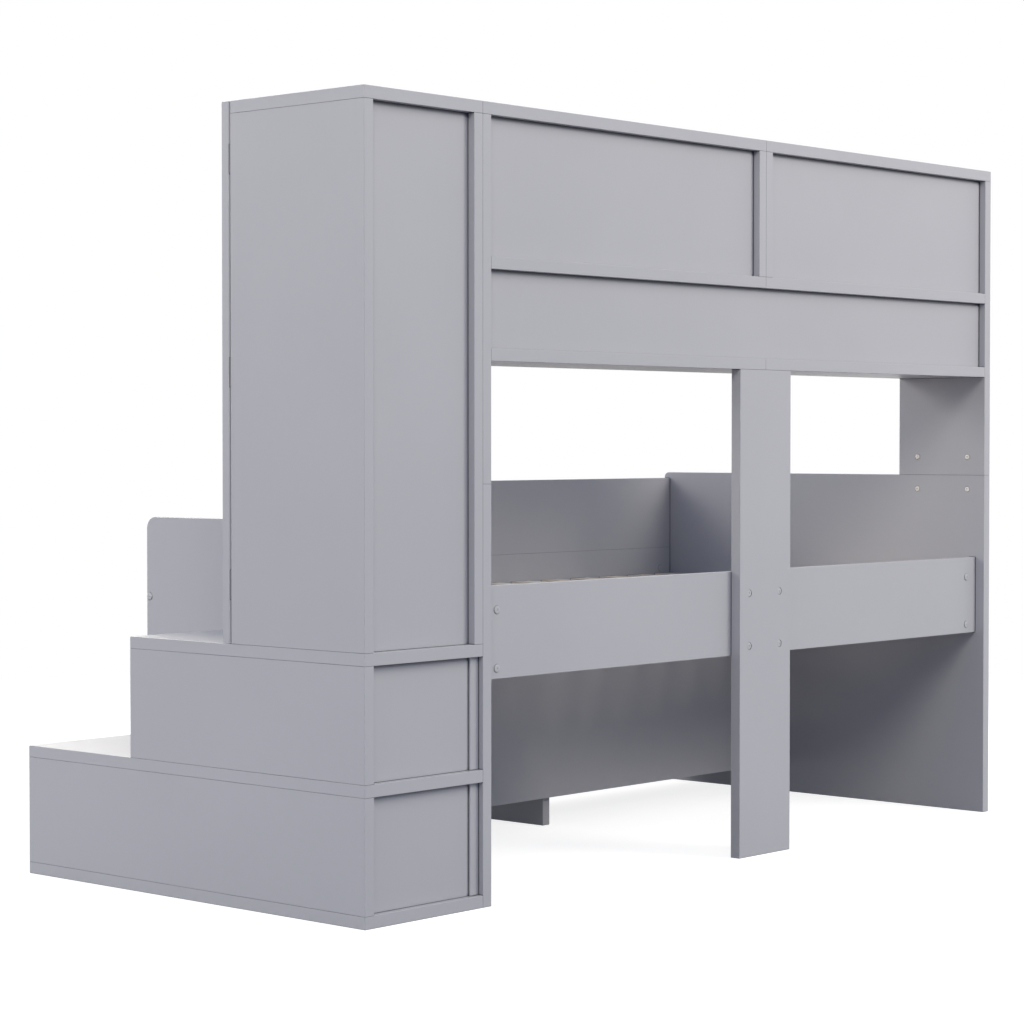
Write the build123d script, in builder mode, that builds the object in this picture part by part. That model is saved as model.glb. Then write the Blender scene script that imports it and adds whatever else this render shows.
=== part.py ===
from build123d import *
import os

os.makedirs("parts", exist_ok=True)

# Loft bed with two storage steps and a wardrobe at one end and a shelf unit over its wall side.
# The stairs stand at +X, the wall side is +Y, people use it from -Y, and the floor is Z = 0.
# All sizes are millimetres.

# The mattress that the bed takes, and its play in length and in width
mattress_length = 1905.0
mattress_width = 991.0
mattress_play = 13.0

# Board thicknesses and edges
case_board = 26.0
rail_board = 20.0
back_sheet = 12.0
back_recess = 18.0
edge_round = 1.0
corner_round = 28.0
far_corner_round = 14.0

# Storage steps
stair_width = 348.0
lower_tread_level = 289.0
upper_step_rise = 263.0
upper_step_depth = 718.0
step_side_setback = 12.5

# Wardrobe on the upper step
wardrobe_depth = 394.0
wardrobe_shelf_level = 1400.0
shelf_front_setback = 12.0
rod_radius = 11.0
rod_drop = 60.0
rod_clearance = 0.2
socket_wall = 4.0
socket_length = 10.0
socket_floor = 2.0

# Wardrobe door, its knob and its three narrow butt hinges
door_board = 22.0
door_back_gap = 3.0
door_side_gap = 2.0
door_floor_gap = 3.0
knob_radius = 15.0
knob_neck_radius = 7.0
knob_neck_length = 12.0
knob_head_length = 13.0
knob_rounding = 4.0
knob_inset = 42.0
knob_level = 1080.0
hinge_length = 60.0
hinge_inset = 120.0
hinge_corner_round = 3.0
leaf_width = 20.0
leaf_sheet = 0.9
knuckle_radius = 2.2
knuckle_inset = 0.2
knuckle_play = 0.4
middle_knuckle_length = 24.0
knuckle_end_gap = 0.3
hinge_pin_radius = 1.0
hinge_pin_clearance = 0.05
hinge_pin_head_radius = 1.8
hinge_pin_head = 0.8

# Drawers in the two steps
drawer_front_board = 20.0
drawer_front_gap = 2.5
drawer_board = 12.0
drawer_bottom_sheet = 6.0
drawer_side_gap = 3.0
drawer_box_height = 150.0
drawer_box_length = 430.0
drawer_box_lift = 12.0
bottom_groove_lift = 10.0
bottom_groove_depth = 6.0
groove_play = 0.2
scoop_width = 110.0
scoop_depth = 28.0
runner_height = 16.0
runner_setback = 20.0
runner_end_gap = 10.0
runner_lift = 60.0
runner_groove_depth = 7.0
runner_groove_start = 15.0
runner_play = 0.3
runner_tip_play = 0.5

# End panels, rails and the guard
end_panel_height = 885.0
entry_panel_drop = 88.0
rail_bottom = 473.0
rail_height = 197.0
guard_height = 199.0
entry_gap = 400.0

# Slats and the ledgers that carry them
deck_level = 596.0
slat_count = 16
slat_width = 70.0
slat_thickness = 18.0
slat_play = 2.0
ledger_width = 30.0
ledger_height = 40.0

# Storage unit under the bed, open to the front
storage_depth = 353.0
storage_floor_gap = 74.0

# Shelf unit over the bed, and the leg that carries its middle
overhead_depth = 265.0
overhead_underside = 1142.0
lower_row_height = 166.0
upper_row_height = 294.0
leg_width = 198.0

# Bolts, barrel nuts and their caps
bolt_radius = 3.0
bolt_hole_clearance = 0.3
bolt_row_low = 495.0
bolt_row_spacing = 124.0
front_bolt_drop = 8.0
bolt_past_nut = 10.0
cap_radius = 8.5
cap_thickness = 2.6
cap_rounding = 1.0
cap_sink = 0.2
cap_clearance = 0.2
cap_dimple_radius = 1.6
cap_dimple_depth = 1.2
nut_from_rail_end = 45.0
nut_radius = 6.0
nut_length = 16.0
nut_hole_clearance = 0.1
thread_clearance = 0.05
nut_plug_radius = 5.5
nut_plug_gap = 0.2
leg_bolt_inset = 36.5
leg_bolt_spacing = 118.0
sleeve_radius = 4.5
sleeve_length = 14.0
sleeve_flange = 1.6

# Cam fittings that tie the shelf unit's sides to the end panels
cam_radius = 7.5
cam_depth = 15.0
cam_clearance = 0.1
cam_cover_radius = 8.5
cam_cover_thickness = 0.8
cam_rise = 48.0
cam_drop = 37.0
cam_from_back = 52.5
cam_spacing = 155.0


def middle(span):
    return sum(span) / 2


def from_back(start, stop):
    """Y span between two distances measured forward from the wall side."""
    return (y_back - stop, y_back - start)


# Places along the length, X
bed_length = mattress_length + mattress_play
length = stair_width + 2 * case_board + bed_length
x_stairs_out = length / 2
x_bed_near = x_stairs_out - stair_width
x_inner_near = x_bed_near - case_board
x_far_out = -length / 2
x_inner_far = x_far_out + case_board
x_middle = (x_bed_near + x_far_out) / 2
x_stairs = (x_bed_near, x_stairs_out)
x_inner_side = (x_bed_near, x_bed_near + case_board)
x_outer_side = (x_stairs_out - case_board, x_stairs_out)
x_box = (x_inner_side[1], x_outer_side[0])
x_near_panel = (x_inner_near, x_bed_near)
x_far_panel = (x_far_out, x_inner_far)
x_bed = (x_inner_far, x_inner_near)
x_near_bay = (x_middle, x_inner_near)
x_far_bay = (x_inner_far, x_middle)
x_near_divider = (x_middle, x_middle + case_board)
x_far_divider = (x_middle - case_board, x_middle)
x_leg = (x_middle - leg_width / 2, x_middle + leg_width / 2)
x_guard = (x_inner_far, x_inner_near - entry_gap)
x_door = (x_bed_near + door_side_gap, x_stairs_out)

# Places across the depth, Y
bed_width = mattress_width + mattress_play
depth = case_board + 2 * rail_board + bed_width
y_back = depth / 2
y_front = -depth / 2
y_full = (y_front, y_back)
y_upper_step = from_back(0, upper_step_depth)
y_wardrobe = from_back(0, wardrobe_depth)
y_overhead = from_back(0, overhead_depth)
y_back_sheet = from_back(back_recess, back_recess + back_sheet)
y_leg = from_back(0, case_board)
y_rear_rail = from_back(case_board, case_board + rail_board)
y_front_rail = (y_front, y_front + rail_board)
y_bed = (y_front_rail[1], y_rear_rail[0])
y_storage = (y_bed[0], y_bed[0] + storage_depth)
y_storage_back = (y_storage[1], y_storage[1] + case_board)
y_door = from_back(wardrobe_depth + door_back_gap, wardrobe_depth + door_back_gap + door_board)
y_hinge_pin = y_wardrobe[0] - door_back_gap / 2
x_hinge_pin = x_stairs_out - knuckle_radius - knuckle_inset

# Levels, Z
entry_panel_height = end_panel_height - entry_panel_drop
upper_tread_level = lower_tread_level + upper_step_rise
rail_top = rail_bottom + rail_height
slat_underside = deck_level - slat_thickness
ledger_bottom = slat_underside - ledger_height
bottom_board_top = overhead_underside + case_board
shelf_underside = bottom_board_top + lower_row_height
shelf_top = shelf_underside + case_board
top_underside = shelf_top + upper_row_height
top_level = top_underside + case_board
z_lower_side = (case_board, lower_tread_level - case_board)
z_lower_tread = (lower_tread_level - case_board, lower_tread_level)
z_upper_side = (lower_tread_level, upper_tread_level - case_board)
z_upper_tread = (upper_tread_level - case_board, upper_tread_level)
z_wardrobe = (upper_tread_level, top_underside)
z_wardrobe_shelf = (wardrobe_shelf_level, wardrobe_shelf_level + case_board)
z_door = (upper_tread_level + door_floor_gap, top_level)
z_rail = (rail_bottom, rail_top)
z_guard = (rail_top, rail_top + guard_height)
z_storage_bottom = (storage_floor_gap, storage_floor_gap + case_board)
z_overhead_side = (end_panel_height, top_underside)
z_bottom_board = (overhead_underside, bottom_board_top)
z_lower_row = (bottom_board_top, shelf_underside)
z_shelf_board = (shelf_underside, shelf_top)
z_upper_row = (shelf_top, top_underside)
z_top_board = (top_underside, top_level)


def facing(x, y, z, direction):
    """Plane at a point of a surface, looking out of that surface."""
    return Plane(origin=(x, y, z), z_dir=direction)


def lay_board(span_x, span_y, span_z):
    """Adds one rectangular board between three spans to the piece in hand."""
    spans = (span_x, span_y, span_z)
    with Locations(tuple(middle(span) for span in spans)):
        Box(*(high - low for low, high in spans))


def round_corner(piece, axis, corner, radius):
    """Rounds the one edge along an axis that lies nearest to a corner."""
    fillet(piece.edges().filter_by(axis).sort_by_distance(corner)[0], radius=radius)


def ease_edges(piece, axis=Axis.Z):
    """Eases every sharp edge, leaving those beside a corner that is already rounded about the axis."""
    smooth = piece.faces().filter_by(GeomType.CYLINDER).edges().filter_by(axis)
    fillet(piece.edges() - smooth, radius=edge_round)


def save(piece, name):
    """Labels one finished piece and writes its file."""
    piece.part.label = name
    export_step(piece.part, f"parts/{name}.step")


# Plain boards, each one rectangular panel with eased edges
plain_boards = {
    "lower_step_bottom": (x_stairs, y_full, (0, case_board)),
    "lower_step_outer_side": (x_outer_side, y_full, z_lower_side),
    "lower_step_inner_side": (x_inner_side, (y_front, y_back - step_side_setback), z_lower_side),
    "lower_step_back": (x_box, y_back_sheet, z_lower_side),
    "lower_step_tread": (x_stairs, y_full, z_lower_tread),
    "upper_step_outer_side": (x_outer_side, y_upper_step, z_upper_side),
    "upper_step_inner_side": (x_inner_side, (y_upper_step[0], y_back - step_side_setback), z_upper_side),
    "upper_step_back": (x_box, y_back_sheet, z_upper_side),
    "upper_step_tread": (x_stairs, y_upper_step, z_upper_tread),
    "wardrobe_inner_side": (x_inner_side, y_wardrobe, z_wardrobe),
    "wardrobe_back": (x_box, y_back_sheet, z_wardrobe),
    "wardrobe_shelf": (x_box, (y_wardrobe[0] + shelf_front_setback, y_back_sheet[0]), z_wardrobe_shelf),
    "storage_back": (x_bed, y_storage_back, (storage_floor_gap, slat_underside)),
    "storage_divider": (x_far_divider, y_storage, (0, ledger_bottom)),
    "near_top_board": ((x_middle, x_bed_near), y_overhead, z_top_board),
    "far_top_board": ((x_far_out, x_middle), y_overhead, z_top_board),
    "near_shelf_board": (x_near_bay, y_overhead, z_shelf_board),
    "far_shelf_board": (x_far_bay, y_overhead, z_shelf_board),
    "near_bottom_board": (x_near_bay, y_overhead, z_bottom_board),
    "far_bottom_board": (x_far_bay, y_overhead, z_bottom_board),
    "near_divider": (x_near_divider, y_overhead, z_upper_row),
    "far_divider": (x_far_divider, y_overhead, z_upper_row),
    "low_divider": (
        (x_middle - case_board / 2, x_middle + case_board / 2),
        (y_overhead[0], y_back_sheet[0]),
        z_lower_row,
    ),
    "lower_back": (x_bed, y_back_sheet, z_lower_row),
}
for board_name, board_spans in plain_boards.items():
    with BuildPart() as plain_board:
        lay_board(*board_spans)
        ease_edges(plain_board)
    save(plain_board, board_name)

with BuildPart() as upper_backs:
    lay_board((x_near_divider[1], x_inner_near), y_back_sheet, z_upper_row)
    lay_board((x_inner_far, x_far_divider[0]), y_back_sheet, z_upper_row)
    ease_edges(upper_backs)
save(upper_backs, "upper_backs")

with BuildPart() as storage_bottoms:
    lay_board(x_near_bay, y_storage, z_storage_bottom)
    lay_board((x_inner_far, x_far_divider[0]), y_storage, z_storage_bottom)
    ease_edges(storage_bottoms)
save(storage_bottoms, "storage_bottoms")

# Wardrobe case round its door: the hinge side and the top are rounded where the door turns past
hinge_levels = (z_door[0] + hinge_inset, middle(z_door), z_door[1] - hinge_inset)
hinge_points = [(x_hinge_pin, y_hinge_pin, level) for level in hinge_levels]
knuckle_pocket_radius = knuckle_radius + knuckle_play
knuckle_pocket_length = hinge_length + 2 * (hinge_pin_head + knuckle_play)

with BuildPart() as wardrobe_outer_side:
    lay_board(x_outer_side, y_wardrobe, z_wardrobe)
    round_corner(wardrobe_outer_side, Axis.Z, (x_stairs_out, y_wardrobe[0], 0), hinge_corner_round)
    ease_edges(wardrobe_outer_side)
    with Locations(*hinge_points):
        Cylinder(knuckle_pocket_radius, knuckle_pocket_length, mode=Mode.SUBTRACT)
save(wardrobe_outer_side, "wardrobe_outer_side")

with BuildPart() as wardrobe_top:
    lay_board(x_stairs, y_wardrobe, z_top_board)
    round_corner(wardrobe_top, Axis.Z, (x_stairs_out, y_wardrobe[0], 0), hinge_corner_round)
    ease_edges(wardrobe_top)
save(wardrobe_top, "wardrobe_top")

with BuildPart() as wardrobe_door:
    lay_board(x_door, y_door, z_door)
    round_corner(wardrobe_door, Axis.Z, (x_stairs_out, y_door[1], 0), hinge_corner_round)
    ease_edges(wardrobe_door)
    with Locations(*hinge_points):
        Cylinder(knuckle_pocket_radius, knuckle_pocket_length, mode=Mode.SUBTRACT)
save(wardrobe_door, "wardrobe_door")

with BuildPart() as door_knob:
    with Locations(facing(x_door[0] + knob_inset, y_door[0], knob_level, (0, -1, 0))):
        Cylinder(knob_neck_radius, knob_neck_length, align=(Align.CENTER, Align.CENTER, Align.MIN))
        with Locations((0, 0, knob_neck_length)):
            Cylinder(knob_radius, knob_head_length, align=(Align.CENTER, Align.CENTER, Align.MIN))
    fillet(door_knob.edges().filter_by(GeomType.CIRCLE).group_by(SortBy.RADIUS)[-1], radius=knob_rounding)
save(door_knob, "door_knob")

# Butt hinges: the middle knuckle turns with the door, the two end knuckles stay on the case
end_knuckle_length = (hinge_length - middle_knuckle_length) / 2 - knuckle_end_gap
end_knuckle_offset = (hinge_length - end_knuckle_length) / 2
leaf_offset = (door_back_gap - leaf_sheet) / 2
pin_bore_radius = hinge_pin_radius + hinge_pin_clearance
middle_notch_length = middle_knuckle_length + 2 * knuckle_end_gap
end_notch_length = end_knuckle_length + knuckle_end_gap
end_notch_offset = (hinge_length - end_notch_length) / 2

with BuildPart() as case_hinge_leaves:
    with Locations(*hinge_points):
        with Locations((-leaf_width / 2, leaf_offset, 0)):
            Box(leaf_width, leaf_sheet, hinge_length)
        Cylinder(knuckle_pocket_radius, middle_notch_length, mode=Mode.SUBTRACT)
        with Locations((0, 0, -end_knuckle_offset), (0, 0, end_knuckle_offset)):
            Cylinder(knuckle_radius, end_knuckle_length)
        Cylinder(pin_bore_radius, hinge_length, mode=Mode.SUBTRACT)
save(case_hinge_leaves, "case_hinge_leaves")

with BuildPart() as door_hinge_leaves:
    with Locations(*hinge_points):
        with Locations((-leaf_width / 2, -leaf_offset, 0)):
            Box(leaf_width, leaf_sheet, hinge_length)
        with Locations((0, 0, -end_notch_offset), (0, 0, end_notch_offset)):
            Cylinder(knuckle_pocket_radius, end_notch_length, mode=Mode.SUBTRACT)
        Cylinder(knuckle_radius, middle_knuckle_length)
        Cylinder(pin_bore_radius, middle_knuckle_length, mode=Mode.SUBTRACT)
save(door_hinge_leaves, "door_hinge_leaves")

with BuildPart() as hinge_pins:
    with Locations(*hinge_points):
        Cylinder(hinge_pin_radius, hinge_length)
        with Locations((0, 0, (hinge_length + hinge_pin_head) / 2)):
            Cylinder(hinge_pin_head_radius, hinge_pin_head)
save(hinge_pins, "hinge_pins")

# Hanging rod and its two sockets under the wardrobe shelf
rod_centre = (middle(x_box), (y_wardrobe[0] + y_back_sheet[0]) / 2, wardrobe_shelf_level - rod_drop)
rod_length = x_box[1] - x_box[0] - 2 * socket_floor
socket_faces = [
    facing(x_box[0], rod_centre[1], rod_centre[2], (1, 0, 0)),
    facing(x_box[1], rod_centre[1], rod_centre[2], (-1, 0, 0)),
]

with BuildPart() as hanging_rod:
    with Locations(rod_centre):
        Cylinder(rod_radius, rod_length, rotation=(0, 90, 0))
save(hanging_rod, "hanging_rod")

with BuildPart() as rod_sockets:
    with Locations(*socket_faces):
        Cylinder(
            rod_radius + rod_clearance + socket_wall,
            socket_length,
            align=(Align.CENTER, Align.CENTER, Align.MIN),
        )
        with Locations((0, 0, socket_floor)):
            Cylinder(
                rod_radius + rod_clearance,
                socket_length - socket_floor,
                align=(Align.CENTER, Align.CENTER, Align.MIN),
                mode=Mode.SUBTRACT,
            )
save(rod_sockets, "rod_sockets")

# Drawers: each is placed by its front face and by the floor of its step
step_inside_height = z_lower_side[1] - z_lower_side[0]
upper_inside_height = z_upper_side[1] - z_upper_side[0]
drawer_places = {
    "lower_drawer": (y_front, case_board, step_inside_height),
    "upper_drawer": (y_upper_step[0], lower_tread_level, upper_inside_height),
}
x_drawer_front = (x_box[0] + drawer_front_gap, x_box[1] - drawer_front_gap)
x_drawer_out = (x_box[0] + drawer_side_gap, x_box[1] - drawer_side_gap)
x_drawer_in = (x_drawer_out[0] + drawer_board, x_drawer_out[1] - drawer_board)
x_drawer_bottom = (x_drawer_in[0] - bottom_groove_depth, x_drawer_in[1] + bottom_groove_depth)
x_groove_floor = (x_drawer_out[0] + runner_groove_depth, x_drawer_out[1] - runner_groove_depth)
runner_reach = drawer_side_gap + runner_groove_depth - runner_tip_play
scoop_radius = (scoop_width**2 / 4 + scoop_depth**2) / (2 * scoop_depth)

for drawer_name, (face, floor_level, inside_height) in drawer_places.items():
    y_drawer_front = (face, face + drawer_front_board)
    y_drawer_box = (y_drawer_front[1], y_drawer_front[1] + drawer_box_length)
    z_drawer_front = (floor_level + drawer_front_gap, floor_level + inside_height - drawer_front_gap)
    z_drawer_box = (floor_level + drawer_box_lift, floor_level + drawer_box_lift + drawer_box_height)
    groove_level = z_drawer_box[0] + bottom_groove_lift
    z_bottom_groove = (groove_level, groove_level + drawer_bottom_sheet + groove_play)
    runner_level = z_drawer_box[0] + runner_lift
    z_runner_groove = (runner_level - runner_play, runner_level + runner_height + runner_play)
    y_runner_groove = (y_drawer_box[0] + runner_groove_start, y_drawer_box[1])
    y_bottom_sheet = (y_drawer_front[1] - bottom_groove_depth, y_drawer_box[1])

    with BuildPart() as drawer_front:
        lay_board(x_drawer_front, y_drawer_front, z_drawer_front)
        ease_edges(drawer_front)
        with Locations((middle(x_drawer_front), middle(y_drawer_front), z_drawer_front[1])):
            with Locations((0, 0, scoop_radius - scoop_depth)):
                Cylinder(scoop_radius, 2 * drawer_front_board, rotation=(90, 0, 0), mode=Mode.SUBTRACT)
        with Locations((middle(x_drawer_bottom), y_drawer_front[1], middle(z_bottom_groove))):
            Box(
                x_drawer_bottom[1] - x_drawer_bottom[0] + groove_play,
                2 * (bottom_groove_depth + groove_play),
                drawer_bottom_sheet + groove_play,
                mode=Mode.SUBTRACT,
            )
    save(drawer_front, f"{drawer_name}_front")

    with BuildPart() as drawer_sides:
        lay_board((x_drawer_out[0], x_drawer_in[0]), y_drawer_box, z_drawer_box)
        lay_board((x_drawer_in[1], x_drawer_out[1]), y_drawer_box, z_drawer_box)
        ease_edges(drawer_sides)
        with Locations((middle(x_box), middle(y_drawer_box), middle(z_bottom_groove))):
            Box(
                x_drawer_bottom[1] - x_drawer_bottom[0] + groove_play,
                drawer_box_length,
                drawer_bottom_sheet + groove_play,
                mode=Mode.SUBTRACT,
            )
        for outer, floor_of_groove in zip(x_drawer_out, x_groove_floor):
            with Locations(
                ((outer + floor_of_groove) / 2, middle(y_runner_groove), middle(z_runner_groove))
            ):
                Box(
                    runner_groove_depth,
                    y_runner_groove[1] - y_runner_groove[0],
                    z_runner_groove[1] - z_runner_groove[0],
                    mode=Mode.SUBTRACT,
                )
    save(drawer_sides, f"{drawer_name}_sides")

    with BuildPart() as drawer_back:
        y_drawer_back = (y_drawer_box[1] - drawer_board, y_drawer_box[1])
        lay_board(x_drawer_in, y_drawer_back, (groove_level + drawer_bottom_sheet, z_drawer_box[1]))
        ease_edges(drawer_back)
    save(drawer_back, f"{drawer_name}_back")

    with BuildPart() as drawer_bottom:
        lay_board(x_drawer_bottom, y_bottom_sheet, (groove_level, groove_level + drawer_bottom_sheet))
    save(drawer_bottom, f"{drawer_name}_bottom")

# Runner strips screwed to the insides of both steps, one pair a drawer
with BuildPart() as drawer_runners:
    for face, floor_level, inside_height in drawer_places.values():
        runner_start = face + drawer_front_board + runner_setback
        runner_stop = face + drawer_front_board + drawer_box_length - runner_end_gap
        y_runner = (runner_start, runner_stop)
        runner_level = floor_level + drawer_box_lift + runner_lift
        z_runner = (runner_level, runner_level + runner_height)
        lay_board((x_box[0], x_box[0] + runner_reach), y_runner, z_runner)
        lay_board((x_box[1] - runner_reach, x_box[1]), y_runner, z_runner)
    ease_edges(drawer_runners)
save(drawer_runners, "drawer_runners")

# Bolt places: the caps are sunk in the outer faces of the end panels, in line with the rails,
# but those of the front rail stand proud of the stair end panel
bolt_rows = (bolt_row_low, bolt_row_low + bolt_row_spacing)
front_bolt_rows = [row - front_bolt_drop for row in bolt_rows]
rear_rail_line = middle(y_rear_rail)
front_rail_line = middle(y_front_rail)
bolt_hole_radius = bolt_radius + bolt_hole_clearance
cap_recess_radius = cap_radius + cap_clearance
cap_recess_depth = cap_thickness + cap_sink
rail_hole_depth = nut_from_rail_end + bolt_past_nut + cap_recess_depth
rail_points = [(rear_rail_line, row) for row in bolt_rows]
rail_points += [(front_rail_line, row) for row in front_bolt_rows]
far_bolt_faces = [facing(x_far_out, line, row, (-1, 0, 0)) for line, row in rail_points]
near_sunk_faces = [facing(x_bed_near, rear_rail_line, row, (1, 0, 0)) for row in bolt_rows]
x_proud_cap = x_bed_near + cap_recess_depth
near_proud_faces = [facing(x_proud_cap, front_rail_line, row, (1, 0, 0)) for row in front_bolt_rows]

# Cam places on the inner faces, over and under the joint of the end panels and the shelf unit
cam_lines = (y_back - cam_from_back, y_back - cam_from_back - cam_spacing)
cam_hole_radius = cam_radius + cam_clearance


def cam_faces(x, level, direction):
    return [facing(x, line, level, direction) for line in cam_lines]


def cut_cam_seats(panel_x, inner_x, level, inward, joint_direction, reach):
    """Sinks the cam holes of one board and the holes for the bolts that cross its joint."""
    with Locations(*cam_faces(inner_x, level, inward)):
        Hole(cam_hole_radius, depth=cam_depth)
    with Locations(*cam_faces(panel_x, end_panel_height, joint_direction)):
        Hole(bolt_hole_radius, depth=reach)


# Stair end panel: high behind, under the shelf unit, and low at the entry
with BuildPart() as stair_end_panel:
    with BuildSketch(Plane.YZ.offset(x_near_panel[0])) as stair_end_outline:
        with BuildLine():
            Polyline(
                (y_back, 0),
                (y_back, end_panel_height),
                (y_wardrobe[0], end_panel_height),
                (y_wardrobe[0], entry_panel_height),
                (y_front, entry_panel_height),
                (y_front, 0),
                close=True,
            )
        make_face()
        # The sketch's own X runs along the bed's depth and its own Y is the height
        inner_corners = stair_end_outline.vertices().filter_by_position(
            Axis.X, y_wardrobe[0] - edge_round, y_wardrobe[0] + edge_round
        )
        front_corner = stair_end_outline.vertices().group_by(Axis.X)[0].sort_by(Axis.Y)[-1]
        fillet(inner_corners + [front_corner], radius=corner_round)
    extrude(amount=case_board)
    ease_edges(stair_end_panel, Axis.X)
    with Locations(*near_sunk_faces):
        CounterBoreHole(bolt_hole_radius, cap_recess_radius, cap_recess_depth)
    with Locations(*near_proud_faces):
        Hole(bolt_hole_radius, depth=case_board + cap_recess_depth)
    cut_cam_seats(
        middle(x_near_panel), x_inner_near, end_panel_height - cam_drop, (-1, 0, 0), (0, 0, 1), cam_drop
    )
save(stair_end_panel, "stair_end_panel")

with BuildPart() as far_end_panel:
    lay_board(x_far_panel, y_full, (0, end_panel_height))
    round_corner(far_end_panel, Axis.X, (0, y_front, end_panel_height), far_corner_round)
    ease_edges(far_end_panel, Axis.X)
    with Locations(*far_bolt_faces):
        CounterBoreHole(bolt_hole_radius, cap_recess_radius, cap_recess_depth)
    cut_cam_seats(
        middle(x_far_panel), x_inner_far, end_panel_height - cam_drop, (1, 0, 0), (0, 0, 1), cam_drop
    )
save(far_end_panel, "far_end_panel")

# Sides of the shelf unit, standing on the end panels
with BuildPart() as near_upper_side:
    lay_board(x_near_panel, y_overhead, z_overhead_side)
    ease_edges(near_upper_side)
    cut_cam_seats(
        middle(x_near_panel), x_inner_near, end_panel_height + cam_rise, (-1, 0, 0), (0, 0, -1), cam_rise
    )
save(near_upper_side, "near_upper_side")

with BuildPart() as far_upper_side:
    lay_board(x_far_panel, y_overhead, z_overhead_side)
    ease_edges(far_upper_side)
    cut_cam_seats(
        middle(x_far_panel), x_inner_far, end_panel_height + cam_rise, (1, 0, 0), (0, 0, -1), cam_rise
    )
save(far_upper_side, "far_upper_side")

# Middle leg, bolted through to the rear rail
leg_bolt_columns = (x_leg[1] - leg_bolt_inset, x_leg[1] - leg_bolt_inset - leg_bolt_spacing)
leg_points = [(column, row) for column in leg_bolt_columns for row in bolt_rows]
leg_bolt_faces = [facing(column, y_back, row, (0, 1, 0)) for column, row in leg_points]
sleeve_faces = [facing(column, y_rear_rail[0], row, (0, -1, 0)) for column, row in leg_points]
sleeve_hole_radius = sleeve_radius + bolt_hole_clearance

with BuildPart() as middle_leg:
    lay_board(x_leg, y_leg, (0, overhead_underside))
    ease_edges(middle_leg)
    with Locations(*leg_bolt_faces):
        CounterBoreHole(bolt_hole_radius, cap_recess_radius, cap_recess_depth)
save(middle_leg, "middle_leg")

# Rails: bolts enter their ends and meet barrel nuts that are sunk from the wall side
rail_end_places = ((x_inner_near, (1, 0, 0)), (x_inner_far, (-1, 0, 0)))
nut_columns = (x_inner_near - nut_from_rail_end, x_inner_far + nut_from_rail_end)
nut_seat_depth = (rail_board + nut_length) / 2


def cut_rail_holes(y_rail, rows):
    """Drills one rail for its end bolts and their barrel nuts."""
    for x_end, outward in rail_end_places:
        with Locations(*[facing(x_end, middle(y_rail), row, outward) for row in rows]):
            Hole(bolt_hole_radius, depth=rail_hole_depth)
    with Locations(*[facing(x, y_rail[1], row, (0, 1, 0)) for x in nut_columns for row in rows]):
        Hole(nut_radius + nut_hole_clearance, depth=nut_seat_depth)


with BuildPart() as rear_rail:
    lay_board(x_bed, y_rear_rail, z_rail)
    ease_edges(rear_rail)
    cut_rail_holes(y_rear_rail, bolt_rows)
    with Locations(*sleeve_faces):
        Hole(sleeve_hole_radius, depth=rail_board)
save(rear_rail, "rear_rail")

with BuildPart() as front_rail:
    lay_board(x_bed, y_front_rail, z_rail)
    ease_edges(front_rail)
    cut_rail_holes(y_front_rail, front_bolt_rows)
save(front_rail, "front_rail")

with BuildPart() as front_guard:
    lay_board(x_guard, y_front_rail, z_guard)
    round_corner(front_guard, Axis.Y, (x_guard[1], y_front, z_guard[1]), corner_round)
    ease_edges(front_guard, Axis.Y)
save(front_guard, "front_guard")

# Slat deck: ledgers on the rails and slats across them
with BuildPart() as slat_ledgers:
    z_ledger = (ledger_bottom, slat_underside)
    lay_board(x_bed, (y_bed[0], y_bed[0] + ledger_width), z_ledger)
    lay_board(x_bed, (y_bed[1] - ledger_width, y_bed[1]), z_ledger)
    ease_edges(slat_ledgers)
save(slat_ledgers, "slat_ledgers")

slat_pitch = (bed_length - 2 * slat_play - slat_width) / (slat_count - 1)
with BuildPart() as slats:
    with Locations((middle(x_bed), middle(y_bed), deck_level - slat_thickness / 2)):
        with GridLocations(slat_pitch, bed_width, slat_count, 1):
            Box(slat_width, bed_width - 2 * slat_play, slat_thickness)
    ease_edges(slats)
save(slats, "slats")

# Bolts, nuts and caps
rail_bolt_length = case_board + nut_from_rail_end + bolt_past_nut
leg_bolt_length = case_board + rail_board - sleeve_flange


def lay_bolts(piece, faces, bolt_length):
    """Adds bolts whose rounded caps lie just under the given faces."""
    with Locations(*faces):
        with Locations((0, 0, -cap_sink)):
            Cylinder(cap_radius, cap_thickness, align=(Align.CENTER, Align.CENTER, Align.MAX))
            Cylinder(bolt_radius, bolt_length, align=(Align.CENTER, Align.CENTER, Align.MAX))
    fillet(piece.edges().filter_by(GeomType.CIRCLE).group_by(SortBy.RADIUS)[-1], radius=cap_rounding)
    with Locations(*faces):
        with Locations((0, 0, -cap_sink)):
            Cylinder(
                cap_dimple_radius,
                cap_dimple_depth,
                align=(Align.CENTER, Align.CENTER, Align.MAX),
                mode=Mode.SUBTRACT,
            )


with BuildPart() as rail_bolts:
    lay_bolts(rail_bolts, near_sunk_faces + near_proud_faces + far_bolt_faces, rail_bolt_length)
save(rail_bolts, "rail_bolts")

with BuildPart() as leg_bolts:
    lay_bolts(leg_bolts, leg_bolt_faces, leg_bolt_length)
save(leg_bolts, "leg_bolts")

with BuildPart() as leg_nuts:
    with Locations(*sleeve_faces):
        Cylinder(cap_radius, sleeve_flange, align=(Align.CENTER, Align.CENTER, Align.MIN))
        Cylinder(sleeve_radius, sleeve_length, align=(Align.CENTER, Align.CENTER, Align.MAX))
        Cylinder(
            bolt_radius + thread_clearance,
            sleeve_length,
            align=(Align.CENTER, Align.CENTER, Align.MAX),
            mode=Mode.SUBTRACT,
        )
save(leg_nuts, "leg_nuts")

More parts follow.
